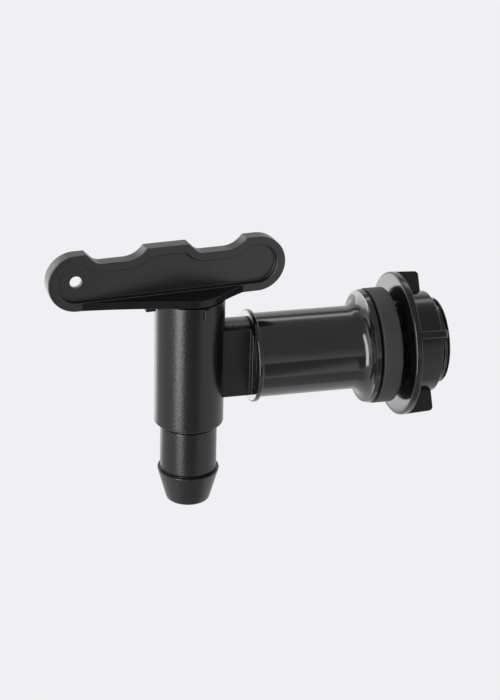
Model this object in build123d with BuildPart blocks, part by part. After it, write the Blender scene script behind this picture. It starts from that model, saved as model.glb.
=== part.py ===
"""Lever tap for a water butt: a quarter-turn plug tap with a hose tail, held in the butt's wall by
its threaded stem, a rubber washer and a winged back nut.

The origin is on the axis of the threaded stem, in the plane where the washer meets the butt's
wall. +X runs along the stem into the butt and +Z runs up the tap's barrel. Sizes are in
millimetres. The lever is drawn as it stands in the photograph, a few degrees past full flow.
"""

import os
from math import asin, cos, degrees, radians, sin

from build123d import *

# Barrel, hose tail and neck, one moulding
barrel_radius = 12.0
barrel_wall = 2.0
barrel_top = 23.6  # rim above the stem's axis
barrel_drop = 22.1  # step to the hose tail, below the stem's axis
tail_radius = 9.85
tail_wall = 3.2
barb_radius = 10.9
tail_length = 18.3  # step to the barb's lip
barb_length = 12.0
nose_radius = 7.6
nose_round = 0.8
neck_radius = 13.65
neck_flat = 6.0  # half the width across the neck's two flats
neck_end = 20.5  # barrel's axis to the end of the neck
neck_gap = 0.15  # neck's end to the stem's collar
shoulder_flat = 8.4  # the flats stop at a shoulder: half the width across it
shoulder_width = 0.5
shoulder_round = 0.2
port_radius = 4.8
rim_chamfer = 0.6

# Key: lever, flange and hollow plug, one moulding
key_turn = 6.0  # how far the lever stands from in line with the stem, degrees
key_lift = 0.25  # flange over the barrel's rim
plug_clearance = 0.08
plug_wall = 2.6
plug_crown = 4.0  # solid above the waterway
plug_gap = 0.5  # plug's foot over the floor of the barrel
plug_skirt = 2.3  # plug below its lower ring groove
flange_inset = 0.2  # flange's rim inside the barrel's
flange_thickness = 2.7
shelf_from_long_tip = 11.2  # where the flange's tapered tongues run out into the lever
shelf_from_short_tip = 15.2
shelf_long_slope = 18.5  # how each tongue leaves the flange's rim, degrees
shelf_short_slope = 36.0
lever_long = 49.2  # barrel's axis to the tip of the long arm
lever_short = 33.2
lever_height = 19.4
lever_thickness = 5.2
rim_width = 3.0
web_thickness = 1.6
end_land_long = 13.1  # raised land at the long arm's end, from its tip
end_land_short = 14.25
middle_land = 14.8
land_shift = 0.5  # middle land from halfway between the tips
land_height = 3.6
land_round = 4.0
scallop_run = 6.8
lever_hole = 2.05
lever_edge = 0.35

# Stops and snap bead
stop_width = 4.0
stop_clearance = 0.4  # lug outside the barrel
stop_length = 3.6
stop_height = 3.4
rib_width = 2.0
rib_height = 3.8
rib_drop = 0.2  # rib's top under the rim
rib_depth = 0.9
open_limit = -6.0  # key's travel from where it stands, degrees
shut_limit = 84.0
stop_gap = 1.0  # degrees left at each stop
bead_drop = 4.6  # middle of the bead under the barrel's rim
bead_width = 1.6
bead_depth = 0.4
bead_clearance = 0.25

# Rubber seals in the barrel and in the stem
ring_section = 1.5
ring_fit = 0.03
groove_width = 2.2
ring_offset = 3.4  # ring's middle beyond the pad's edge, above and below
pad_radius = 7.2
pad_depth = 1.5
pad_fit = 0.05

# Stem: collar, tube, flange and threaded end, one moulding
stem_length = 49.75  # collar's face to the washer's outer face
collar_lip = 1.4  # collar's rim outside the tube
collar_width = 1.7
collar_chamfer = 0.5
tube_step = 0.55  # tube's side inside the thread's crest
flare_length = 4.9  # tube sweeps out to the flange's rim over this length
flange_rim_width = 1.8
flange_rim_taper = 0.55  # rim's front edge inside its back edge
washer_seat = 1.0  # seat that stands the washer off the rim, leaving a groove
seat_inset = 1.5
thread_radius = 15.15
thread_end = 18.9  # thread's end past the washer's outer face
thread_chamfer = 1.0
thread_wall = 3.55
socket_wall = 2.4
socket_depth = 12.0
spigot_clearance = 0.05
spigot_length = 11.6
spigot_wall = 1.6  # under the ring's groove
spigot_ring = 4.0  # middle of the ring's groove, from the collar's face
spigot_bead = 8.6
spigot_bead_depth = 0.35
spigot_bead_run = 1.05

# Washer and back nut
washer_band = 4.85
washer_thickness = 6.6
washer_fit = 0.2
washer_lip = 0.15  # washer's rim outside the flange's
washer_edge = 0.4
butt_wall = 2.75  # room for the butt's wall between washer and nut
nut_flange_radius = 25.25
nut_flange_thickness = 2.4
nut_wall = 2.55
nut_length = 12.65
nut_clearance = 0.1
nut_edge = 0.4
nut_rim_round = 0.9  # flange's edge towards the wall
wing_count = 4
wing_angle = 61.0  # first wing, from +Y towards +Z
wing_thickness = 2.6
wing_length = 9.75
wing_taper = 0.45  # wing's tip inside the flange's rim at its rear end
wing_round = 1.6

# Places that follow from the sizes above
tap_reach = neck_end + neck_gap + stem_length
bore_radius = barrel_radius - barrel_wall
plug_radius = bore_radius - plug_clearance
upper_ring = pad_radius + ring_offset
lower_ring = -upper_ring
bead_height = barrel_top - bead_drop
barb_drop = barrel_drop + tail_length
plug_foot = lower_ring - groove_width / 2 - plug_skirt
bore_floor = plug_foot - plug_gap
tail_bore = tail_radius - tail_wall
bead_room = bead_depth + bead_clearance
groove_depth = ring_section + 2 * ring_fit
shelf_bottom = barrel_top + key_lift
flange_radius = barrel_radius - flange_inset
shelf_long = lever_long - shelf_from_long_tip
shelf_short = lever_short - shelf_from_short_tip
land_centre = (lever_short - lever_long) / 2 - land_shift
stop_inner = barrel_radius + stop_clearance
stop_outer = stop_inner + stop_length
lever_top = shelf_bottom + lever_height
valley = lever_top - land_height
end_radius = lever_height / 2
end_height = shelf_bottom + end_radius
tube_radius = thread_radius - tube_step
collar_radius = tube_radius + collar_lip
socket_radius = tube_radius - socket_wall
spigot_radius = socket_radius - spigot_clearance
spigot_bore = socket_radius - groove_depth - spigot_wall
stem_bore = thread_radius - thread_wall
washer_radius = thread_radius + washer_fit + washer_band
stem_flange_radius = washer_radius - washer_lip
seat_radius = stem_flange_radius - seat_inset
nut_hub_radius = thread_radius + nut_clearance + nut_wall
wing_tip_radius = nut_flange_radius - wing_taper
ring_at = spigot_ring - stem_length
bead_at = spigot_bead - stem_length

barrel_axis = Axis((-tap_reach, 0, 0), (0, 0, 1))
barrel_section = Plane(origin=(-tap_reach, 0, 0), x_dir=(1, 0, 0), z_dir=(0, -1, 0))
stem_section = Plane(origin=(0, 0, 0), x_dir=(1, 0, 0), z_dir=(0, -1, 0))


def along(angle, height=0.0):
    """Level plane at a height over the barrel's axis, its X turned by an angle from the stem."""
    turned = (cos(radians(angle)), sin(radians(angle)), 0)
    return Plane(origin=(-tap_reach, 0, height), x_dir=turned, z_dir=(0, 0, 1))


def facing(angle, distance=0.0):
    """Upright plane that looks out from the barrel's axis at an angle, X level and Y up."""
    out = (cos(radians(angle)), sin(radians(angle)), 0)
    level = (-sin(radians(angle)), cos(radians(angle)), 0)
    origin = (-tap_reach + distance * out[0], distance * out[1], 0)
    return Plane(origin=origin, x_dir=level, z_dir=out)


def seal_ring(section_plane, axis, centre, name):
    """Round rubber ring with the centre of its section at a point of the section plane."""
    with BuildPart() as ring:
        with BuildSketch(section_plane):
            with Locations(centre):
                Circle(ring_section / 2)
        revolve(axis=axis)
    ring.part.label = name
    export_step(ring.part, f"parts/{name}.step")
    return ring.part


def pad_block(radius, inner, outer):
    """Round pad on the plug's side, curved as the plug is, where it meets the inlet when shut."""
    with BuildPart() as pad:
        with BuildSketch(facing(key_turn - 90)):
            Circle(radius)
        extrude(amount=outer + pad_fit)
        with BuildSketch(along(key_turn, -radius - 1)):
            Circle(outer)
            Circle(inner, mode=Mode.SUBTRACT)
        extrude(amount=2 * radius + 2, mode=Mode.INTERSECT)
    return pad.part


os.makedirs("parts", exist_ok=True)

# Tap body: the barrel with its hose tail is turned, the neck with two flats runs to the stem
with BuildPart() as tap_body:
    with BuildSketch(barrel_section):
        with BuildLine():
            Polyline(
                (0, barrel_top),
                (barrel_radius, barrel_top),
                (barrel_radius, -barrel_drop),
                (tail_radius, -barrel_drop),
                (tail_radius, -barb_drop),
                (barb_radius, -barb_drop),
                (nose_radius, -barb_drop - barb_length),
                (0, -barb_drop - barb_length),
                close=True,
            )
        make_face()
    revolve(axis=barrel_axis)
    nose_edge = tap_body.edges().filter_by(GeomType.CIRCLE).group_by(Axis.Z)[0]
    fillet(nose_edge, radius=nose_round)
    with BuildSketch(facing(0)):
        Circle(neck_radius)
        Rectangle(2 * neck_flat, 2 * neck_radius, mode=Mode.INTERSECT)
    extrude(amount=neck_end)
    with BuildSketch(facing(0, neck_end - shoulder_width)):
        Circle(neck_radius)
        Rectangle(2 * shoulder_flat, 2 * neck_radius, mode=Mode.INTERSECT)
    extrude(amount=shoulder_width)
    fillet(tap_body.edges().group_by(Axis.X)[-1], radius=shoulder_round)
    # Spigot that pushes into the stem's socket, with its snap bead and ring groove
    with BuildSketch(stem_section):
        with BuildLine():
            Polyline(
                (neck_end - tap_reach, 0),
                (neck_end - tap_reach, spigot_radius),
                (ring_at - groove_width / 2, spigot_radius),
                (ring_at - groove_width / 2, socket_radius - groove_depth),
                (ring_at + groove_width / 2, socket_radius - groove_depth),
                (ring_at + groove_width / 2, spigot_radius),
                (bead_at, spigot_radius),
                (bead_at, spigot_radius + spigot_bead_depth),
                (bead_at + spigot_bead_run, spigot_radius),
                (spigot_length - stem_length, spigot_radius),
                (spigot_length - stem_length, 0),
                close=True,
            )
        make_face()
    revolve(axis=Axis.X)
    # Stop ribs on the barrel under its rim, one for each end of the key's travel
    meeting = degrees(asin(stop_width / 2 / stop_inner) + asin(rib_width / 2 / stop_inner))
    for limit, side in ((open_limit, -1), (shut_limit, 1)):
        rib_angle = 180 + key_turn + limit + side * (meeting + stop_gap)
        with BuildSketch(along(rib_angle, barrel_top - rib_drop - rib_height)):
            with Locations((barrel_radius, 0)):
                Rectangle(2 * rib_depth, rib_width)
        extrude(amount=rib_height)
    # Waterway: plug bore and hose bore along the barrel, port and spigot bore along the neck
    with BuildSketch(barrel_section):
        with BuildLine():
            Polyline(
                (0, barrel_top + 1),
                (bore_radius + rim_chamfer + 1, barrel_top + 1),
                (bore_radius, barrel_top - rim_chamfer),
                (bore_radius, bead_height + bead_width / 2 + bead_clearance),
                (bore_radius + bead_room, bead_height + bead_width / 2 + bead_clearance),
                (bore_radius + bead_room, bead_height - bead_width / 2 - bead_clearance),
                (bore_radius, bead_height - bead_width / 2 - bead_room - bead_clearance),
                (bore_radius, bore_floor),
                (tail_bore, bore_floor - (bore_radius - tail_bore)),
                (tail_bore, -barb_drop - barb_length - 1),
                (0, -barb_drop - barb_length - 1),
                close=True,
            )
        make_face()
    revolve(axis=barrel_axis, mode=Mode.SUBTRACT)
    with BuildSketch(facing(0)):
        Circle(port_radius)
    extrude(amount=tap_reach, mode=Mode.SUBTRACT)
    with BuildSketch(facing(0, neck_end)):
        Circle(spigot_bore)
    extrude(amount=tap_reach, mode=Mode.SUBTRACT)
tap_body.part.label = "tap_body"
export_step(tap_body.part, "parts/tap_body.step")

# Key: web and rim of the lever, tapered flange over the barrel, hollow plug with its side port
lever_side = facing(key_turn - 90)
with BuildPart() as lever_key:
    with BuildSketch(lever_side) as outline:
        with BuildLine():
            left, right = end_radius - lever_long, lever_short - end_radius
            middle_left = land_centre - middle_land / 2
            middle_right = land_centre + middle_land / 2
            at = (left, lever_top)
            for land_end, next_land in (
                (end_land_long - lever_long, middle_left),
                (middle_right, lever_short - end_land_short),
            ):
                land = Line(at, (land_end, lever_top))
                down = Line(land @ 1, (land_end + land_height, valley))
                level = Line(down @ 1, (next_land - scallop_run, valley))
                rise = TangentArc(level @ 1, (next_land, lever_top), tangent=(1, 0))
                at = rise @ 1
            at = Line(at, (right, lever_top)) @ 1
            tip = ThreePointArc(at, (lever_short, end_height), (right, shelf_bottom))
            foot = Line(tip @ 1, (left, shelf_bottom))
            ThreePointArc(foot @ 1, (-lever_long, end_height), (left, lever_top))
        make_face()
        low_corners = outline.vertices().filter_by_position(Axis.Y, valley - 0.01, valley + 0.01)
        fillet(low_corners.sort_by(Axis.X)[0::2], radius=land_round)
    extrude(amount=lever_thickness / 2, both=True)
    rim_faces = lever_key.faces().filter_by(Axis(lever_side.origin, lever_side.z_dir))
    chamfer(rim_faces.sort_by(SortBy.AREA)[-2:].edges(), length=lever_edge)
    for side in (1, -1):
        with BuildSketch(lever_side.offset(side * web_thickness / 2)):
            add(outline.sketch_local)
            offset(amount=-rim_width)
        extrude(amount=side * lever_thickness, mode=Mode.SUBTRACT)
    with BuildSketch(lever_side):
        with Locations((left, end_height)):
            Circle(lever_hole)
    extrude(amount=lever_thickness, both=True, mode=Mode.SUBTRACT)
    # Flange: a disc with tongues that taper into both arms of the lever
    with BuildSketch(along(key_turn, shelf_bottom)):
        with BuildLine():
            left_slope, right_slope = radians(shelf_long_slope), radians(shelf_short_slope)
            left_tangent = (-flange_radius * sin(left_slope), flange_radius * cos(left_slope))
            right_tangent = (flange_radius * sin(right_slope), flange_radius * cos(right_slope))
            side = lever_thickness / 2
            Line((-shelf_long, 0), (-shelf_long, side))
            TangentArc(
                left_tangent, (-shelf_long, side), tangent=(-cos(left_slope), -sin(left_slope))
            )
            ThreePointArc(left_tangent, (0, flange_radius), right_tangent)
            TangentArc(
                right_tangent, (shelf_short, side), tangent=(cos(right_slope), -sin(right_slope))
            )
            Line((shelf_short, side), (shelf_short, 0))
            mirror(about=Plane.XZ)
        make_face()
    extrude(amount=flange_thickness)
    # Stop lug under the long arm, just outside the barrel
    with BuildSketch(along(key_turn + 180, shelf_bottom - stop_height)):
        with Locations(((stop_inner + stop_outer) / 2, 0)):
            Rectangle(stop_outer - stop_inner, stop_width)
    extrude(amount=stop_height)
    # Plug: turned with two ring grooves and a snap bead, bored from below
    with BuildSketch(barrel_section):
        with BuildLine():
            groove_floor = bore_radius - groove_depth
            bead_top = bead_height + bead_width / 2
            points = [(0, shelf_bottom), (plug_radius, shelf_bottom), (plug_radius, bead_top)]
            points += [(plug_radius + bead_depth, bead_top)]
            points += [(plug_radius + bead_depth, bead_top - bead_width)]
            points += [(plug_radius, bead_top - bead_width - bead_depth)]
            for middle in (upper_ring, lower_ring):
                for edge in (groove_width / 2, -groove_width / 2):
                    rise, dip = (plug_radius, groove_floor)[:: 1 if edge > 0 else -1]
                    points += [(rise, middle + edge), (dip, middle + edge)]
            points += [(plug_radius, plug_foot), (0, plug_foot)]
            Polyline(*points, close=True)
        make_face()
    revolve(axis=barrel_axis)
    with BuildSketch(along(key_turn, plug_foot)):
        Circle(plug_radius - plug_wall)
    extrude(amount=shelf_bottom - plug_crown - plug_foot, mode=Mode.SUBTRACT)
    with BuildSketch(facing(key_turn)):
        Circle(port_radius)
    extrude(amount=barrel_radius, mode=Mode.SUBTRACT)
    add(pad_block(pad_radius + pad_fit, plug_radius - pad_depth, bore_radius), mode=Mode.SUBTRACT)
lever_key.part.label = "lever_key"
export_step(lever_key.part, "parts/lever_key.step")

# Rubber in the barrel: two rings round the plug, and the pad that shuts the inlet
plug_ring = bore_radius - ring_fit - ring_section / 2
seal_ring(barrel_section, barrel_axis, (plug_ring, upper_ring), "upper_plug_ring")
seal_ring(barrel_section, barrel_axis, (plug_ring, lower_ring), "lower_plug_ring")
shut_off_pad = pad_block(pad_radius, plug_radius - pad_depth + pad_fit, bore_radius - pad_fit)
shut_off_pad.label = "shut_off_pad"
export_step(shut_off_pad, "parts/shut_off_pad.step")

# Stem: turned, with a socket for the spigot at the collar and a plain thread core at the far end
with BuildPart() as inlet_stem:
    with BuildSketch(stem_section) as stem_profile:
        with BuildLine():
            rim_back = -washer_thickness - washer_seat
            rim_front = rim_back - flange_rim_width
            tube = Polyline(
                (-stem_length + socket_depth, stem_bore),
                (-stem_length + socket_depth, socket_radius),
                (-stem_length, socket_radius),
                (-stem_length, collar_radius),
                (-stem_length + collar_width, collar_radius),
                (-stem_length + collar_width, tube_radius),
                (rim_front - flare_length, tube_radius),
            )
            rim_edge = (rim_front, stem_flange_radius - flange_rim_taper)
            TangentArc(tube @ 1, rim_edge, tangent=(1, 0))
            Polyline(
                rim_edge,
                (rim_back, stem_flange_radius),
                (rim_back, seat_radius),
                (-washer_thickness, seat_radius),
                (-washer_thickness, thread_radius),
                (thread_end, thread_radius),
                (thread_end, stem_bore),
                tube @ 0,
            )
        make_face()
        corners = stem_profile.vertices()
        chamfer(corners.group_by(Axis.X)[-1].sort_by(Axis.Y)[-1], length=thread_chamfer)
        chamfer(corners.group_by(Axis.X)[0].sort_by(Axis.Y)[-1], length=collar_chamfer)
    revolve(axis=Axis.X)
    # Groove inside the socket that the spigot's bead snaps into
    with BuildSketch(stem_section):
        with BuildLine():
            Polyline(
                (bead_at - spigot_clearance, spigot_bore),
                (bead_at - spigot_clearance, socket_radius + spigot_bead_depth),
                (bead_at + spigot_bead_run + spigot_clearance, socket_radius),
                (bead_at + spigot_bead_run + spigot_clearance, spigot_bore),
                close=True,
            )
        make_face()
    revolve(axis=Axis.X, mode=Mode.SUBTRACT)
inlet_stem.part.label = "inlet_stem"
export_step(inlet_stem.part, "parts/inlet_stem.step")

stem_ring = socket_radius - ring_fit - ring_section / 2
seal_ring(stem_section, Axis.X, (ring_at, stem_ring), "spigot_ring")

# Washer between the stem's flange and the butt's wall
with BuildPart() as sealing_washer:
    with BuildSketch(Plane.YZ.offset(-washer_thickness)):
        Circle(washer_radius)
        Circle(thread_radius + washer_fit, mode=Mode.SUBTRACT)
    extrude(amount=washer_thickness)
    outer_edges = sealing_washer.edges().filter_by(GeomType.CIRCLE).sort_by(SortBy.RADIUS)[-2:]
    fillet(outer_edges, radius=washer_edge)
sealing_washer.part.label = "sealing_washer"
export_step(sealing_washer.part, "parts/sealing_washer.step")

# Back nut: flange towards the wall, hub behind it, and wings across the flange's back
with BuildPart() as back_nut:
    with BuildSketch(Plane.YZ.offset(butt_wall)):
        Circle(nut_flange_radius)
    extrude(amount=nut_flange_thickness)
    rim_edges = back_nut.edges().filter_by(GeomType.CIRCLE).group_by(Axis.X)
    fillet(rim_edges[0], radius=nut_rim_round)
    fillet(rim_edges[-1], radius=nut_edge)
    with BuildSketch(Plane.YZ.offset(butt_wall + nut_edge)):
        Circle(nut_hub_radius)
    extrude(amount=nut_length - nut_edge)
    chamfer(back_nut.edges().filter_by(GeomType.CIRCLE).group_by(Axis.X)[-1], length=nut_edge)
    flange_rear = butt_wall + nut_flange_thickness
    for wing in range(wing_count):
        angle = radians(wing_angle + wing * 360 / wing_count)
        upright = Plane(origin=(0, 0, 0), x_dir=(1, 0, 0), z_dir=(0, -sin(angle), cos(angle)))
        with BuildSketch(upright) as wing_shape:
            with BuildLine():
                near, far = flange_rear - nut_edge, flange_rear + wing_length
                Polyline(
                    (near, thread_radius + nut_clearance),
                    (far, thread_radius + nut_clearance),
                    (far, wing_tip_radius),
                    (flange_rear, nut_flange_radius),
                    (near, nut_flange_radius),
                    close=True,
                )
            make_face()
            rear_corner = wing_shape.vertices().group_by(Axis.X)[-1].sort_by(Axis.Y)[-1]
            fillet(rear_corner, radius=wing_round)
        extrude(amount=wing_thickness / 2, both=True)
    with BuildSketch(Plane.YZ.offset(butt_wall - 1)):
        Circle(thread_radius + nut_clearance)
    extrude(amount=nut_length + 2, mode=Mode.SUBTRACT)
back_nut.part.label = "back_nut"
export_step(back_nut.part, "parts/back_nut.step")
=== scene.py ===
from math import cos, pi, radians, sin, sqrt

import bpy
import numpy as np
from mathutils import Matrix, Vector


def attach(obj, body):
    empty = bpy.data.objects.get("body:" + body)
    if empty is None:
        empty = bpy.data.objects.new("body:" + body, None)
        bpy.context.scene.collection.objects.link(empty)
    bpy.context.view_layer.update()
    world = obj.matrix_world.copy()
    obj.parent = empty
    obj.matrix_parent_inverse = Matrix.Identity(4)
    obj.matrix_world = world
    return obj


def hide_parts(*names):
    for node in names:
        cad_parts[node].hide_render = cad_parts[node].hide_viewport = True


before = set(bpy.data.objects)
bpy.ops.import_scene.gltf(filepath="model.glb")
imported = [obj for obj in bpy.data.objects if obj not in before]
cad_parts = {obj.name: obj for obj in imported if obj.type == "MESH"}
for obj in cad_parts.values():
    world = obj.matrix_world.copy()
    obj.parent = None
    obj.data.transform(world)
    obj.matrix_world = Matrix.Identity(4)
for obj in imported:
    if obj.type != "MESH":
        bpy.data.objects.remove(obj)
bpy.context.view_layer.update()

# Water butt tap, dressed: its mouldings and rubber, the light on it and the view of it.
# Shapes are worked out in millimetres in the part's own frame: X along the stem into the butt,
# Z up the barrel, the origin where the washer meets the wall. Each mesh is made in metres.

REACH = 70.4  # barrel's axis behind the washer's outer face
TURN = radians(6.0)  # lever from the stem's line
LEVER_TOP, SHELF_BOTTOM = 43.25, 23.85  # heights of the lever's top edge and of its flange's underside
CREASE = 32  # degrees: edges that turn by more stay sharp


# Outlines and profiles


def arc(x, y, r, start, end, n):
    """Points of a circle about (x, y): r times the cosine and sine of n angles between two, in degrees."""
    a = np.radians(np.linspace(start, end, n))
    return np.stack([x + r * np.cos(a), y + r * np.sin(a)], 1)


def rounded(corners, n=6):
    """Closed outline through (x, y, r) corners, each replaced by the arc of radius r that touches its sides.

    The arc starts r / tan(half angle) before the corner, and its centre lies on the bisector at
    r / sin(half angle). A radius of 0 keeps the corner as one point.
    """
    corners = np.array(corners, float)
    p, radii = corners[:, :2], corners[:, 2]
    out = []
    for i, r in enumerate(radii):
        back = p[i - 1] - p[i]
        on = p[(i + 1) % len(p)] - p[i]
        back, on = back / np.linalg.norm(back), on / np.linalg.norm(on)
        if r == 0:
            out.append(p[i : i + 1])
            continue
        half = np.arccos(np.clip(back @ on, -1, 1)) / 2
        centre = p[i] + (back + on) / np.linalg.norm(back + on) * r / np.sin(half)
        first = p[i] + back * r / np.tan(half) - centre
        last = p[i] + on * r / np.tan(half) - centre
        a0, a1 = np.arctan2(first[1], first[0]), np.arctan2(last[1], last[0])
        a = a0 + ((a1 - a0 + np.pi) % (2 * np.pi) - np.pi) * np.linspace(0, 1, n)
        out.append(centre + r * np.stack([np.cos(a), np.sin(a)], 1))
    return np.concatenate(out)


def finer(outline, step):
    """The same closed outline with points added so that no side is longer than step."""
    ring = np.vstack([outline, outline[:1]])
    run = np.concatenate([[0], np.cumsum(np.linalg.norm(np.diff(ring, axis=0), axis=1))])
    s = np.unique(np.round(np.concatenate([run, np.arange(0, run[-1], step)]), 4))
    s = s[np.concatenate([np.diff(s) > step * 0.2, [False]]) | np.isin(s, np.round(run[:-1], 4))]
    return np.stack([np.interp(s, run, ring[:, 0]), np.interp(s, run, ring[:, 1])], 1)


def both_edges(depth, r):
    """(inset, height) pairs up the side of a slab, with a quarter round of radius r at each end."""
    a = np.linspace(0, np.pi / 2, 5)
    upper = [(r - r * np.cos(t), depth - r + r * np.sin(t)) for t in a]
    return [(inset, depth - height) for inset, height in upper[::-1]] + upper


# Shells: each is (points, four-cornered faces), closed


def grid_faces(rows, columns, wrap_rows):
    """Faces of a rows by columns grid whose columns close on themselves, and rows too if asked."""
    i = np.arange(rows if wrap_rows else rows - 1)[:, None]
    j = np.arange(columns)[None, :]
    a, b = i * columns + j, i * columns + (j + 1) % columns
    up = ((i + 1) % rows) * columns
    return np.stack([a, b, up + (j + 1) % columns, up + j], -1).reshape(-1, 4)


def turned(profile, along, n=224, waist=None):
    """Solid of revolution: point (s, r) of a closed profile goes to s on the axis, r cos t, r sin t off it.

    along is "x" for the stem's axis and "z" for the barrel's. waist(s, r, t) gives a new r.
    """
    s, r = profile[:, :1], profile[:, 1:]
    t = np.linspace(0, 2 * np.pi, n, endpoint=False)[None, :]
    if waist:
        r = waist(s, r, t)
    s = np.broadcast_to(s, (len(profile), n))
    if along == "x":
        points = np.stack([s, r * np.cos(t), r * np.sin(t)], -1)
    else:
        points = np.stack([r * np.cos(t) - REACH, r * np.sin(t), s], -1)
    return points.reshape(-1, 3), grid_faces(len(profile), n, True)


def stacked(rings):
    """Solid with a flat cap at each end: closed rings of equal count, one above another.

    Point i of a cap is joined across to point n - 1 - i, so each ring starts where its two sides meet.
    """
    rings = np.array(rings)
    rows, n = rings.shape[:2]
    i = np.arange(n // 2 - 1)
    cap = np.stack([i, i + 1, n - 2 - i, n - 1 - i], -1)
    faces = [grid_faces(rows, n, False), cap[:, ::-1], cap + (rows - 1) * n]
    return rings.reshape(-1, 3), np.concatenate(faces)


def slab(outline, profile, place):
    """Outline drawn in by each inset of a profile and lifted to its height, then put in place.

    outline(inset) gives the ring, profile holds (inset, height) pairs, and place(x, y, h) puts a
    point of the ring at that height into the part's frame.
    """
    rings = []
    for inset, height in profile:
        ring = outline(inset)
        rings.append(place(ring[:, 0], ring[:, 1], np.full(len(ring), height)))
    return stacked(rings)


def outward(shell):
    """The shell with its faces turned outwards, told by the sign of the volume they enclose."""
    points, faces = shell
    a, b, c, d = (points[faces[:, k]] for k in range(4))
    volume = np.sum(a * np.cross(b, c)) + np.sum(a * np.cross(c, d))
    return (points, faces[:, ::-1]) if volume < 0 else shell


def mesh_of(name, shells, crease=CREASE):
    """One mesh from shells, in metres, smooth but for edges sharper than the crease angle."""
    points, faces, start = [], [], 0
    for shell in shells:
        p, f = outward(shell)
        points.append(p / 1000)
        faces.append(f + start)
        start += len(p)
    mesh = bpy.data.meshes.new(name)
    mesh.from_pydata(np.concatenate(points).tolist(), [], np.concatenate(faces).tolist())
    mesh.validate()
    mesh.shade_smooth()
    mesh.set_sharp_from_angle(angle=radians(crease))
    return mesh


def piece(name, mesh, body, slot, material, *nodes):
    """Shows a mesh as one piece of the tap: its body, its material and the nodes it stands for. The slot is
    not used.
    """
    shown = bpy.data.objects.new(name, mesh)
    bpy.context.scene.collection.objects.link(shown)
    mesh.materials.clear()
    mesh.materials.append(material)
    even = shown.modifiers.new("even_shading", "WEIGHTED_NORMAL")
    even.keep_sharp = True
    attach(shown, body)
    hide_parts(*nodes)


def pierced(mesh, shell):
    """The mesh with a shell's space cut out of it."""
    scene = bpy.context.scene
    whole = bpy.data.objects.new("whole", mesh)
    drill = bpy.data.objects.new("drill", mesh_of("drill", [shell]))
    for thing in (whole, drill):
        scene.collection.objects.link(thing)
    cut = whole.modifiers.new("cut", "BOOLEAN")
    cut.operation = "DIFFERENCE"
    cut.solver = "EXACT"
    cut.object = drill
    seen = whole.evaluated_get(bpy.context.evaluated_depsgraph_get())
    result = bpy.data.meshes.new_from_object(seen)
    result.name = mesh.name
    for thing in (whole, drill):
        bpy.data.objects.remove(thing)
    result.shade_smooth()
    result.set_sharp_from_angle(angle=radians(CREASE))
    return result


def rod(start, end, r, n=72):
    """Round rod from one point to another."""
    start, end = np.array(start, float), np.array(end, float)
    axis = (end - start) / np.linalg.norm(end - start)
    side = np.cross(axis, [0, 0, 1] if abs(axis[2]) < 0.9 else [1, 0, 0])
    side /= np.linalg.norm(side)
    over = np.cross(axis, side)
    t = np.linspace(0, 2 * np.pi, n, endpoint=False)[:, None]
    ring = r * (np.cos(t) * side + np.sin(t) * over)
    return stacked([start + ring, end + ring])


# Finishes


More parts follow.
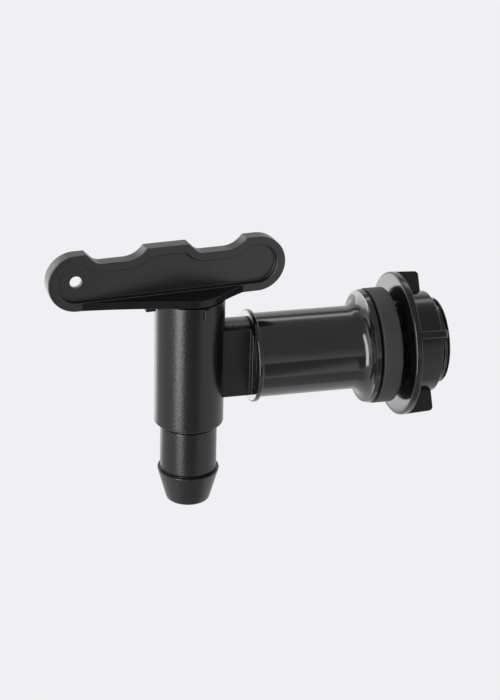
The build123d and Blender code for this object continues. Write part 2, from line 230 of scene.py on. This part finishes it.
def surface_group():
    """Node group of the skin of a moulding: fine grain, slow unevenness and faint wear.

    Its inputs set how large and how strong each is, and it puts out a colour, a roughness and a normal.
    """
    group = bpy.data.node_groups.new("moulded_skin", "ShaderNodeTree")
    face = group.interface
    for name, kind, value in (
        ("Colour", "NodeSocketColor", (0.02, 0.02, 0.02, 1)),
        ("Pale", "NodeSocketColor", (0.05, 0.05, 0.05, 1)),
        ("Roughness", "NodeSocketFloat", 0.3),
        ("Uneven", "NodeSocketFloat", 0.05),
        ("Grain size", "NodeSocketFloat", 2500.0),
        ("Grain depth", "NodeSocketFloat", 0.1),
        ("Ripple depth", "NodeSocketFloat", 0.05),
    ):
        socket = face.new_socket(name, in_out="INPUT", socket_type=kind)
        socket.default_value = value
    for name, kind in (
        ("Colour", "NodeSocketColor"),
        ("Roughness", "NodeSocketFloat"),
        ("Normal", "NodeSocketVector"),
    ):
        face.new_socket(name, in_out="OUTPUT", socket_type=kind)
    nodes, link = group.nodes, group.links.new
    inp, out = nodes.new("NodeGroupInput"), nodes.new("NodeGroupOutput")
    place = nodes.new("ShaderNodeTexCoord")

    def noise(detail):
        """A noise on Object coordinates, whose scale is in features to the metre."""
        node = nodes.new("ShaderNodeTexNoise")
        node.inputs["Detail"].default_value = detail
        link(place.outputs["Object"], node.inputs["Vector"])
        return node

    grain, cloud, ripple = noise(3), noise(4), noise(1)
    link(inp.outputs["Grain size"], grain.inputs["Scale"])
    cloud.inputs["Scale"].default_value = 90
    ripple.inputs["Scale"].default_value = 60

    # Paler where the slow noise is high
    shade = nodes.new("ShaderNodeMapRange")
    shade.inputs["From Min"].default_value = 0.45
    shade.inputs["From Max"].default_value = 0.8
    link(cloud.outputs["Fac"], shade.inputs["Value"])
    mix = nodes.new("ShaderNodeMix")
    mix.data_type = "RGBA"
    link(shade.outputs["Result"], mix.inputs["Factor"])
    link(inp.outputs["Colour"], mix.inputs["A"])
    link(inp.outputs["Pale"], mix.inputs["B"])
    link(mix.outputs["Result"], out.inputs["Colour"])

    # Rougher and smoother by turns, with the grain
    centred = nodes.new("ShaderNodeMath")
    centred.operation = "SUBTRACT"
    centred.inputs[1].default_value = 0.5
    link(grain.outputs["Fac"], centred.inputs[0])
    spread = nodes.new("ShaderNodeMath")
    spread.operation = "MULTIPLY_ADD"
    link(centred.outputs["Value"], spread.inputs[0])
    link(inp.outputs["Uneven"], spread.inputs[1])
    link(inp.outputs["Roughness"], spread.inputs[2])
    link(spread.outputs["Value"], out.inputs["Roughness"])

    def bump(height, strength, distance):
        """A bump at full strength as deep as the distance, in metres."""
        node = nodes.new("ShaderNodeBump")
        node.inputs["Distance"].default_value = distance
        link(height.outputs["Fac"], node.inputs["Height"])
        link(inp.outputs[strength], node.inputs["Strength"])
        return node

    fine, slow = bump(grain, "Grain depth", 0.00016), bump(ripple, "Ripple depth", 0.002)
    link(slow.outputs["Normal"], fine.inputs["Normal"])
    link(fine.outputs["Normal"], out.inputs["Normal"])
    return group


SKIN = surface_group()


def finish(name, colour, pale, roughness, uneven, grain_size, grain_depth, ripple, sheen=0.5):
    """A material of one moulding or rubber: the moulded skin with its own values on a plain shader.

    The sheen is the shader's specular level, where 0.5 is a plain plastic.
    """
    material = bpy.data.materials.new(name)
    material.use_nodes = True
    nodes, link = material.node_tree.nodes, material.node_tree.links.new
    shader = nodes["Principled BSDF"]
    skin = nodes.new("ShaderNodeGroup")
    skin.node_tree = SKIN
    for socket, value in (
        ("Colour", (*colour, 1)),
        ("Pale", (*pale, 1)),
        ("Roughness", roughness),
        ("Uneven", uneven),
        ("Grain size", grain_size),
        ("Grain depth", grain_depth),
        ("Ripple depth", ripple),
    ):
        skin.inputs[socket].default_value = value
    link(skin.outputs["Colour"], shader.inputs["Base Color"])
    link(skin.outputs["Roughness"], shader.inputs["Roughness"])
    link(skin.outputs["Normal"], shader.inputs["Normal"])
    shader.inputs["Specular IOR Level"].default_value = sheen
    material.diffuse_color = (*colour, 1)
    return material


BLACK = (0.0025, 0.0025, 0.0026)
WORN = (0.006, 0.006, 0.0062)
RUBBER, DUSTY = (0.028, 0.028, 0.029), (0.042, 0.042, 0.043)
# After the two colours: roughness, its unevenness, the grain's size and depth, the ripple's depth, the sheen
barrel_black = finish("barrel_black", BLACK, WORN, 0.29, 0.18, 1350, 0.3, 0.02)
lever_black = finish("lever_black", BLACK, WORN, 0.34, 0.10, 2200, 0.16, 0.02, 0.76)
flange_black = finish("flange_black", BLACK, WORN, 0.28, 0.10, 2200, 0.12, 0.02, 0.34)
stem_black = finish("stem_black", BLACK, WORN, 0.13, 0.05, 2000, 0.04, 0.03, 0.8)
nut_black = finish("nut_black", BLACK, WORN, 0.17, 0.06, 2000, 0.08, 0.02)
seal_grey = finish("seal_grey", RUBBER, DUSTY, 0.62, 0.2, 1700, 0.5, 0.04)


# Barrel, hose tail and neck

BARREL_TOP, BARREL_R, PLUG_BORE = 23.6, 12.0, 10.0
BARREL_FOOT, TAIL_R, TAIL_BORE = -22.1, 9.85, 6.65
BARB_AT, BARB_R = -40.4, 10.9
TAIL_END, TIP_R = -52.4, 7.6
PORT_R = 4.8  # waterway through the barrel's wall, the neck and the plug

# Corners (height, radius, rounding) down the outside and up the bore. The tail has a shallow groove
# below the barrel and another above the barb, which show as dark lines.
barrel_corners = [
    (BARREL_TOP, 10.7, 0.25), (BARREL_TOP, BARREL_R, 0.35), (BARREL_FOOT, BARREL_R, 0.3),
    (BARREL_FOOT, 9.4, 0.1), (-23.5, 9.4, 0.1), (-23.7, TAIL_R, 0.1),
    (-39.7, TAIL_R, 0.1), (-40.5, 9.45, 0.15), (BARB_AT, BARB_R, 0.3),
    (TAIL_END, TIP_R, 0.9), (TAIL_END, TAIL_BORE, 0.3),
    (-17.85, TAIL_BORE, 0.5), (-14.5, PLUG_BORE, 0.5), (22.9, PLUG_BORE, 0.3),
]
barrel = mesh_of("barrel_and_tail", [turned(finer(rounded(barrel_corners), 2.0), "z")])
barrel = pierced(barrel, rod((-REACH, 0, 0), (-REACH + 15, 0, 0), PORT_R))

NECK_R, NECK_END = 13.65, 20.5
FLAT, SHOULDER_FLAT = 6.0, 8.4  # from the neck's axis to each flat, and to the flats of its shoulder
IN_WALL = 11.3  # radius inside the barrel's wall at which the neck starts
EDGE_R = 0.45  # the neck's long edges


def neck_ring(flat, inset):
    """Section of the neck: two arcs of one circle joined by upright flats, drawn in by an inset.

    Where an arc of the circle meets a flat, the edge is a small arc that touches both.
    """
    r, flat, c, n = NECK_R - inset, flat - inset, EDGE_R, 30
    centre = sqrt((r - c) ** 2 - (flat - c) ** 2)
    lean = np.degrees(np.arctan2(centre, flat - c))
    quarter = np.vstack([
        np.stack([np.full(n, flat), np.linspace(0, centre, n, endpoint=False) + centre / n / 2], 1),
        arc(flat - c, centre, c, 0, lean, 6),
        arc(0, 0, r, lean, 90, n)[1:-1],
    ])
    upper = np.vstack([quarter, quarter[::-1] * [-1, 1]])
    return np.vstack([upper, upper[::-1] * [1, -1]])


def neck():
    """The neck from inside the barrel's wall to its end, and back along its bore: closed both ways."""
    rows = []
    start = neck_ring(FLAT, 0)
    root = np.sqrt(IN_WALL**2 - start[:, 0] ** 2)
    shoulder = NECK_END - 0.5
    for share in np.linspace(0, 1, 8, endpoint=False):
        rows.append(np.column_stack([root + (shoulder - 0.3 - root) * share, start]))
    # The flats sweep out to the shoulder through a small hollow, and its rim is rounded
    for flat, inset, x in (
        (FLAT, 0, -0.3), (6.02, 0, -0.17), (6.1, 0, -0.07), (6.25, 0, -0.01),
        (7.95, 0.05, 0), (8.15, 0.03, 0.05), (8.3, 0.01, 0.15), (8.38, 0, 0.28),
        (SHOULDER_FLAT, 0, 0.38), (SHOULDER_FLAT, 0.04, 0.46), (SHOULDER_FLAT, 0.12, 0.5),
    ):
        ring = neck_ring(flat, inset)
        rows.append(np.column_stack([np.full(len(ring), shoulder + x), ring]))
    # Its end face, and the bore back to the barrel's wall, whose curve the last ring follows
    angle = np.arctan2(start[:, 1], start[:, 0])
    curved = np.sqrt(IN_WALL**2 - (PORT_R * np.cos(angle)) ** 2)
    for x, r in ((NECK_END, 5.4), (NECK_END, PORT_R), (14.0, PORT_R), (curved, PORT_R)):
        x = np.broadcast_to(x, len(start))
        rows.append(np.column_stack([x, r * np.cos(angle), r * np.sin(angle)]))
    rows = np.array(rows)
    rows[:, :, 0] -= REACH
    return rows.reshape(-1, 3), grid_faces(len(rows), rows.shape[1], True)


# Spigot in the stem's socket, with its ring groove and snap bead
SPIGOT_R, SPIGOT_BORE, RING_FLOOR = 12.15, 9.04, 10.64
spigot_profile = rounded([
    (-49.9, SPIGOT_BORE, 0), (-49.9, SPIGOT_R, 0.1),
    (-46.85, SPIGOT_R, 0.1), (-46.85, RING_FLOOR, 0.1), (-44.65, RING_FLOOR, 0.1), (-44.65, SPIGOT_R, 0.1),
    (-41.15, SPIGOT_R, 0), (-41.15, 12.5, 0.1), (-40.1, SPIGOT_R, 0),
    (-38.15, SPIGOT_R, 0.5), (-38.15, SPIGOT_BORE, 0.3),
])


def block(width, length, height, place, edge=0.25, corner=0.4):
    """Block with rounded edges: a rounded rectangle carried up and drawn in at its ends."""

    def ring(inset):
        w, d = width / 2 - inset, length / 2 - inset
        r = max(corner - inset, 0.05)
        loop = rounded([(-w, d, r), (w, d, r), (w, -d, r), (-w, -d, r)])
        return np.roll(loop, -3, axis=0)  # starts half way round a corner

    return slab(ring, both_edges(height, edge), place)


def at_barrel(angle, distance, height):
    """Placing of a block that stands on the barrel's side: width across, length outwards."""
    a = radians(angle)

    def place(x, y, h):
        out = distance + y
        return np.stack([out * cos(a) - x * sin(a) - REACH, out * sin(a) + x * cos(a), h + height], -1)

    return place


RIB_ANGLES = (165.1, 284.9)  # the stops at the two ends of the lever's turn
ribs = [block(2.0, 2.2, 3.8, at_barrel(angle, 11.8, 19.6)) for angle in RIB_ANGLES]
neck_mesh = mesh_of("neck", [neck(), turned(spigot_profile, "x", 128), *ribs])
for mesh, name in ((barrel, "barrel_and_tail"), (neck_mesh, "neck_and_spigot")):
    piece(name, mesh, "tap", "body_moulding", barrel_black, "tap_body")


# Lever, flange and plug

END_R = 9.7  # the lever's two round ends
LONG_END, SHORT_END = -39.5, 23.5  # their centres along it, from the barrel's axis
LANDS = ((LONG_END, -36.1), (-15.9, -1.1), (18.95, SHORT_END))  # the level stretches of its top
DIP, BEND_R, HOLLOW_R = 3.6, 4.0, 8.22  # a dip between two lands: depth, arc at the foot and arc up
HOLLOW_RUN = 6.8  # from the start of the arc up to the next land
WEB_SIDE = 2.6  # from the lever's middle to each side
HOLE_R = 2.05


def lever_ring(inset):
    """Outline of the lever at a distance inside its edge, as across and up, from its long tip over the top.

    Each side moves in by the inset and each arc keeps its centre: the ends shrink, the hollows grow.
    A dip goes down at 45 degrees, and up by the arc whose angle has the cosine 1 - DIP / radius.
    The foot's points stand straight under those of the top, so that a cap's faces stay upright.
    """
    mid, r = LEVER_TOP - END_R, END_R - inset
    top, dip = LEVER_TOP - inset, LEVER_TOP - DIP - inset
    slip = inset * (sqrt(2) - 1)
    hollow, bend = HOLLOW_R + inset, BEND_R + inset
    reach = bend * (sqrt(2) - 1)
    steps = []
    at = np.linspace(LONG_END, LANDS[0][1] - slip, 5)[1:]
    for (_, land_end), (next_land, next_end) in zip(LANDS, LANDS[1:]):
        corner = land_end + DIP - slip
        steps.append(np.column_stack([at, np.full(len(at), top)]))
        start = np.array([land_end - slip, top])
        foot = np.array([corner - reach / sqrt(2), dip + reach / sqrt(2)])
        steps.append(start + (foot - start) * np.linspace(0, 1, 5)[1:, None])
        steps.append(arc(corner + reach, dip + bend, bend, 225, 270, 10)[1:])
        rise = next_land - HOLLOW_RUN
        steps.append(np.column_stack([np.linspace(corner + reach, rise, 7)[1:], np.full(6, dip)]))
        climb = np.degrees(np.arccos((hollow - (top - dip)) / hollow))
        steps.append(arc(rise, dip + hollow, hollow, 270, 270 + climb, 14)[1:])
        right = next_end if next_end == SHORT_END else next_end - slip
        begin = rise + hollow * np.sin(np.radians(climb))
        at = np.linspace(begin, right, 7)[1:]
    steps.append(np.column_stack([at, np.full(len(at), top)]))
    lead = 90 / 55  # half of the step between an end's points
    left_end = arc(LONG_END, mid, r, 180 - lead, 90, 28)
    right_end = arc(SHORT_END, mid, r, 90, lead, 28)[1:]
    upper = np.vstack([left_end, *steps, right_end])
    foot = np.where(upper[:, 0] < LONG_END, 2 * mid - upper[:, 1], SHELF_BOTTOM + inset)
    foot = np.where(upper[:, 0] > SHORT_END, 2 * mid - upper[:, 1], foot)
    lower = np.column_stack([upper[:, 0], foot])[::-1]
    return np.vstack([upper, lower])


def on_lever(u, z, v):
    """A point of the lever: u along it from the barrel's axis, v across it, z up."""
    return np.stack([u * cos(TURN) - v * sin(TURN) - REACH, u * sin(TURN) + v * cos(TURN), z], -1)


# (inset, way out from the lever's middle): the edge, the rim with its rounded lip, and down into the recess
side = [(0.0, 2.25), (0.05, 2.43), (0.14, 2.53), (0.30, WEB_SIDE), (2.6, WEB_SIDE), (2.75, 2.57)]
side += [(2.88, 2.48), (2.97, 2.35), (3.0, 2.2), (3.05, 1.15), (3.1, 0.97), (3.22, 0.84), (3.4, 0.8)]
lever_profile = [(i, -v) for i, v in side[::-1]] + side
web = mesh_of("lever_web", [slab(lever_ring, lever_profile, on_lever)])
hole_ends = [on_lever(np.array(LONG_END), np.array(LEVER_TOP - END_R), np.array(v)) for v in (-6.0, 6.0)]
web = pierced(web, rod(*hole_ends, HOLE_R, 64))

FLANGE_R, FLANGE_DEPTH = 11.8, 2.7
# Each rim curve: the angle from straight across at which it leaves the disc, and where it meets the lever
FLANGE_CURVES = ((18.5, -38.0), (36.0, 18.0))


def flange_ring(inset):
    """Teardrop plan of the flange: a disc whose rim runs on in two hollow curves to the lever's sides.

    Each curve is the arc that leaves the disc along its tangent and ends at the lever's side.
    """
    upper = []
    for slope, end in FLANGE_CURVES:
        a, way = radians(slope), (1 if end > 0 else -1)
        begin = np.array([way * FLANGE_R * sin(a), FLANGE_R * cos(a)])
        tangent = np.array([way * cos(a), -sin(a)])
        across = np.array([way * sin(a), cos(a)])
        chord = np.array([end, WEB_SIDE]) - begin
        radius = chord @ chord / 2 / (chord @ across)
        t = np.linspace(0, 2 * np.arctan2(chord @ across, chord @ tangent), 26)[:, None]
        upper.append(begin + radius * (np.sin(t) * tangent + (1 - np.cos(t)) * across))
    disc = arc(0, 0, FLANGE_R, 90 + FLANGE_CURVES[0][0], 90 - FLANGE_CURVES[1][0], 40)[1:-1]
    line = np.vstack([upper[0][::-1], disc, upper[1]])
    slope = np.gradient(line[:, 1], line[:, 0])
    lean = np.sqrt(1 + slope**2)
    line = line + inset * np.column_stack([slope / lean, -1 / lean])
    return np.vstack([line, line[::-1] * [1, -1]])


def level(u, v, h):
    """A point of the flange: along and across the lever, at a height over the flange's underside."""
    return on_lever(u, SHELF_BOTTOM + h, v)


flange = slab(flange_ring, both_edges(FLANGE_DEPTH, 0.3), level)
lug = block(4.0, 3.6, 3.6, at_barrel(186.0, 14.2, 20.45), 0.3, 0.5)  # meets a rib at each end of the turn
flange_mesh = mesh_of("lever_flange", [flange, lug])

# Plug, with its snap bead above and a ring groove on each side of the port, and the crown that closes it
PLUG_R, GROOVE_R, BEAD_R, PLUG_HOLLOW = 9.92, 8.44, 10.32, 7.32
PLUG_TOP, PLUG_ROOF = 24.2, 19.85
plug_profile = rounded(
    [
        (PLUG_TOP, 6.0, 0), (PLUG_TOP, PLUG_R, 0),
        (19.8, PLUG_R, 0.1), (19.8, BEAD_R, 0.1), (18.2, BEAD_R, 0.1), (17.8, PLUG_R, 0),
        (11.7, PLUG_R, 0.1), (11.7, GROOVE_R, 0.1), (9.5, GROOVE_R, 0.1), (9.5, PLUG_R, 0.1),
        (-9.5, PLUG_R, 0.1), (-9.5, GROOVE_R, 0.1), (-11.7, GROOVE_R, 0.1), (-11.7, PLUG_R, 0.1),
        (-14.0, PLUG_R, 0.4), (-14.0, PLUG_HOLLOW, 0.4), (PLUG_ROOF, PLUG_HOLLOW, 0),
    ],
    4,
)
crown = np.array([(PLUG_ROOF, 0.5), (PLUG_ROOF, 7.4), (PLUG_TOP, 7.4), (PLUG_TOP, 0.5)])
plug = mesh_of("plug", [turned(finer(plug_profile, 3), "z", 128), turned(crown, "z", 128)])
port_ends = on_lever(np.array([0.0, 15.0]), np.zeros(2), np.zeros(2))
plug = pierced(plug, rod(*port_ends, PORT_R))

# The flange is smoother than the lever and takes less light
for mesh, black in ((web, lever_black), (flange_mesh, flange_black), (plug, lever_black)):
    piece(mesh.name, mesh, "lever", "lever_moulding", black, "lever_key")


# Stem with its thread

COLLAR_AT, COLLAR_R, SOCKET_R = -49.75, 16.0, 12.2
TUBE_R, STEM_BORE, STEM_END = 14.6, 11.6, 18.9
FLARE_AT, FLARE_R = -14.3, 4.9  # the flange's shoulder: an arc that leaves the tube along it
RIM_AT, RIM_R = -7.75, 20.05
WASHER_AT, WASHER_R = -6.6, 20.2  # the washer's inner face lies on the stem's seat
PITCH, THREAD_R, THREAD_DEPTH = 2.0, 15.15, 0.9
flare = arc(FLARE_AT, TUBE_R + FLARE_R, FLARE_R, 270, 360, 24)
stem_outline = rounded(
    [
        (COLLAR_AT, SOCKET_R, 0.3), (COLLAR_AT, COLLAR_R, 0.5),
        (-48.05, COLLAR_R, 0.45), (-48.05, TUBE_R, 0.3),
        *((x, r, 0) for x, r in flare[:-1]), (*flare[-1], 0.12),
        (RIM_AT, RIM_R, 0.12), (RIM_AT, 17.3, 0.1), (WASHER_AT, 17.3, 0), (WASHER_AT, THREAD_R, 0),
        (STEM_END, THREAD_R, 0.5), (STEM_END, STEM_BORE, 0.4),
        (-37.75, STEM_BORE, 0), (-37.75, SOCKET_R, 0),
    ],
    7,
)


def thread(s, r, t):
    """Radius along the stem: the crest less a rounded groove that moves on by one pitch for each turn.

    Depth is a raised cosine of s over the pitch less t over a turn, flattened at top and bottom, and it
    dies away at both ends. Only the outside, past the washer's inner face, is worked.
    """
    turns = s / PITCH - t / (2 * np.pi)
    wave = 0.5 - 0.5 * np.cos(2 * np.pi * turns)
    depth = THREAD_DEPTH * np.clip(wave * 1.5 - 0.25, 0, 1)
    fade = np.clip((s + 6.0) / 1.5, 0, 1) * np.clip((STEM_END - s) / 0.5, 0, 1)
    return r - depth * fade * (r > THREAD_R - 0.6) * (s > -6.5)


# The outline's points along the crest give way to 14 for each pitch, so that the grooves come out round
stem_outline = finer(stem_outline, 1.2)
worked = (stem_outline[:, 0] > WASHER_AT) & (stem_outline[:, 1] > THREAD_R - 0.2)
before = stem_outline[: np.argmax(worked)]
after = stem_outline[len(stem_outline) - np.argmax(worked[::-1]) :]
crest = np.column_stack([np.linspace(-6.55, 18.5, 178), np.full(178, THREAD_R)])
stem_shell = turned(np.vstack([before, crest, after]), "x", waist=thread)
stem = mesh_of("threaded_stem", [stem_shell], crease=48)
piece("threaded_stem", stem, "tap", "stem_moulding", stem_black, "inlet_stem")


# Washer

washer_profile = rounded([
    (WASHER_AT, 15.35, 0.3), (WASHER_AT, WASHER_R, 0.35), (0.0, WASHER_R, 0.55), (0.0, 15.35, 0.3),
])
washer = mesh_of("rubber_washer", [turned(finer(washer_profile, 1.5), "x")])
piece("rubber_washer", washer, "tap", "seal_rubber", seal_grey, "sealing_washer")


# Back nut with its wings

NUT_AT, NUT_R, NUT_BORE = 2.75, 25.25, 15.25
HUB_AT, HUB_R, HUB_END = 5.15, 17.8, 15.4
WING_DEPTH, WING_ROOT, WING_TIP = 2.6, 16.6, 24.8  # thickness, and radii in the hub and at the tip
nut_profile = rounded([
    (NUT_AT, NUT_BORE, 0.5), (NUT_AT, NUT_R, 0.9), (HUB_AT, NUT_R, 0.4),
    (HUB_AT, HUB_R, 0.5), (HUB_END, HUB_R, 0.5), (HUB_END, NUT_BORE, 0.5),
])


def wing(angle):
    """One wing: an upright plate along the nut's axis, its outline drawn in at both its faces."""
    a = radians(angle)

    def ring(inset):
        near, far, sharp = 4.6, 14.9 - inset, 0.01
        return rounded(
            [
                (near, WING_ROOT, sharp), (near, NUT_R - inset, sharp),
                (far, WING_TIP - inset, max(1.5 - inset, 0.3)), (far, WING_ROOT, sharp),
            ],
            8,
        )

    def place(x, y, h):
        h = h - WING_DEPTH / 2
        return np.stack([x, y * cos(a) - h * sin(a), y * sin(a) + h * cos(a)], -1)

    return slab(ring, both_edges(WING_DEPTH, 0.4), place)


wings = [wing(61.0 + 90 * k) for k in range(4)]
nut = mesh_of("winged_nut", [turned(finer(nut_profile, 2.0), "x"), *wings])
piece("winged_nut", nut, "nut", "nut_moulding", nut_black, "back_nut")

# Rubber inside the tap, seen only down its bores
for node in ("upper_plug_ring", "lower_plug_ring", "shut_off_pad", "spigot_ring"):
    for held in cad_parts[node].material_slots:
        held.material = seal_grey


# Floor, light and view


def plain(name, colour):
    """A plain matt material."""
    material = bpy.data.materials.new(name)
    material.use_nodes = True
    shader = material.node_tree.nodes["Principled BSDF"]
    shader.inputs["Base Color"].default_value = (*colour, 1)
    shader.inputs["Roughness"].default_value = 1.0
    shader.inputs["Specular IOR Level"].default_value = 0.0
    return material


FLOOR_Z, FLOOR_HALF = -0.30, 9  # metres: the tap hangs over the floor, as on a butt
CARD_Z = FLOOR_Z + 0.002
MIDDLE = -0.05  # the tap's middle along the stem, in metres


def pale_floor(lift):
    """Matt pale material, lifted by a faint glow that the camera, gloss and glass see alike.

    The lift leaves the floor's shadow in place and sheds no soft light on the tap.
    """
    material = plain("pale_floor", (0.5, 0.4995, 0.51))
    nodes, link = material.node_tree.nodes, material.node_tree.links.new
    path = nodes.new("ShaderNodeLightPath")
    seen = path.outputs["Is Camera Ray"]
    for kind in ("Is Glossy Ray", "Is Transmission Ray"):
        both = nodes.new("ShaderNodeMath")
        link(seen, both.inputs[0])
        link(path.outputs[kind], both.inputs[1])
        seen = both.outputs["Value"]
    glow = nodes.new("ShaderNodeMath")
    glow.operation = "MULTIPLY"
    glow.inputs[1].default_value = lift
    link(seen, glow.inputs[0])
    shader = nodes["Principled BSDF"]
    shader.inputs["Emission Color"].default_value = (1.0, 0.998, 1.02, 1)
    link(glow.outputs["Value"], shader.inputs["Emission Strength"])
    return material


def sheet(name, corners, material):
    """A flat sheet of the studio through its corners, in metres."""
    mesh = bpy.data.meshes.new(name)
    mesh.from_pydata(corners, [], [tuple(range(len(corners)))])
    mesh.materials.append(material)
    shown = bpy.data.objects.new(name, mesh)
    bpy.context.scene.collection.objects.link(shown)
    return shown


signs = ((-1, -1), (1, -1), (1, 1), (-1, 1))
floor_corners = [(x * FLOOR_HALF, y * FLOOR_HALF, FLOOR_Z) for x, y in signs]
floor = sheet("floor", floor_corners, pale_floor(0.592))


def around(angle, distance, height):
    """A place seen from the middle of the tap: its angle about Z in degrees, its distance and its height."""
    a = radians(angle)
    return (MIDDLE + distance * cos(a), distance * sin(a), height)


# Grey cards, which only show in the tap's gloss. Two lie on the floor before it, and the floor between
# them is a light line along the stem. One stands behind it and darkens a band along the stem's top.
near_card = [(x, y, CARD_Z) for x, y in ((-0.22, -0.06), (-0.22, -0.31), (0.14, -0.31), (0.12, -0.06))]
far_card = [around(a, d, CARD_Z) for a, d in ((-124, 0.42), (-124, 8.5), (-70, 8.5), (-70, 0.42))]
rear_card = [around(a, 0.9, h) for a, h in ((60, 0.5), (60, 0.8), (125, 0.8), (125, 0.5))]
for name, corners, tone in (
    ("near_card", near_card, 0.5),
    ("far_card", far_card, 0.38),
    ("rear_card", rear_card, 0.5),
):
    card = sheet(name, corners, plain(name + "_grey", (tone, tone, tone)))
    card.visible_camera = card.visible_shadow = card.visible_diffuse = False


def studio_world():
    """Pale room, nearly white all round, and greyer high up on the side that the camera stands on.

    The cosine of the angle between a ray and the middle of that grey part sets the room's strength.
    """
    world = bpy.data.worlds.new("studio")
    bpy.context.scene.world = world
    world.use_nodes = True
    nodes, link = world.node_tree.nodes, world.node_tree.links.new
    back = nodes["Background"]
    way = nodes.new("ShaderNodeTexCoord")
    aim = nodes.new("ShaderNodeVectorMath")
    aim.operation = "DOT_PRODUCT"
    azimuth, elevation = radians(-96), radians(65)
    level = cos(elevation)
    aim.inputs[1].default_value = (cos(azimuth) * level, sin(azimuth) * level, sin(elevation))
    link(way.outputs["Generated"], aim.inputs[0])
    ramp = nodes.new("ShaderNodeMapRange")
    ramp.interpolation_type = "SMOOTHSTEP"
    for socket, value in (("From Min", 0.3), ("From Max", 0.75), ("To Min", 1.0), ("To Max", 0.45)):
        ramp.inputs[socket].default_value = value
    link(aim.outputs["Value"], ramp.inputs["Value"])
    link(ramp.outputs["Result"], back.inputs["Strength"])
    back.inputs["Color"].default_value = (0.872, 0.871, 0.887, 1)


studio_world()


# The soft lights stand close to the floor and are kept off it, so that it stays even
kept_off = bpy.data.collections.new("kept_off_floor")
kept_off.objects.link(floor)
kept_off.collection_objects[0].light_linking.link_state = "EXCLUDE"


def soft_box(name, where, aim, size, bright):
    """A soft light at a place in metres, turned to a point; bright is its glow, where the room's is 1."""
    lamp = bpy.data.lights.new(name, "AREA")
    lamp.shape = "RECTANGLE"
    lamp.size, lamp.size_y = size
    lamp.energy = bright * pi * size[0] * size[1]
    shown = bpy.data.objects.new(name, lamp)
    shown.location = where
    shown.rotation_euler = (Vector(aim) - Vector(where)).to_track_quat("-Z", "Y").to_euler()
    shown.visible_camera = False
    shown.light_linking.receiver_collection = kept_off
    bpy.context.scene.collection.objects.link(shown)


soft_box("left_strip", around(-137, 0.55, 0.13), around(0, 0, 0.13), (0.21, 0.84), 6.6)
soft_box("left_box", around(178, 1.2, 0.25), (MIDDLE, 0, 0), (1.3, 1.0), 0.6)
soft_box("rear_left_box", around(115, 0.52, -0.04), around(0, 0, -0.04), (0.29, 0.5), 1.8)
soft_box("rear_box", around(77, 0.8, 0.95), (MIDDLE, 0, 0), (1.5, 0.22), 1.7)


# The camera, found by fitting the tap's edges to the photograph's: angles in degrees, lengths in pixels
# of its frame, and the metres along the view to the barrel's middle
AZIMUTH, ELEVATION, ROLL = -15.24176, 23.99929, 1.562437
FRAME_HEIGHT, FOCAL_LENGTH = 700, 1655.773
BARREL_ASIDE, BARREL_UP = -60.81626, -10.41548  # the barrel's middle, from the frame's
BARREL_AWAY = 0.56562377
SENSOR = 36  # millimetres


def photographer():
    """Camera at the photograph's place: set back from the barrel's middle along the axes of the view."""
    a, e, w = radians(AZIMUTH), radians(ELEVATION), radians(ROLL)
    back = np.array([sin(a) * cos(e), -cos(a) * cos(e), sin(e)])
    right = np.array([cos(a), sin(a), 0])
    up = np.cross(right, -back)
    right, up = right * cos(w) + up * sin(w), up * cos(w) - right * sin(w)
    offset = np.array([BARREL_ASIDE / FOCAL_LENGTH, BARREL_UP / FOCAL_LENGTH, 1]) * BARREL_AWAY
    place = -(offset[0] * right + offset[1] * up - offset[2] * back)
    place[0] -= REACH / 1000
    lens = bpy.data.cameras.new("photographer")
    lens.sensor_fit = "VERTICAL"
    lens.sensor_height = SENSOR
    lens.lens = SENSOR * FOCAL_LENGTH / FRAME_HEIGHT
    camera = bpy.data.objects.new("photographer", lens)
    camera.matrix_world = Matrix(np.column_stack([right, up, back, place]).tolist() + [[0, 0, 0, 1]])
    bpy.context.scene.collection.objects.link(camera)
    bpy.context.scene.camera = camera


photographer()
bpy.context.scene.view_settings.view_transform = "Standard"
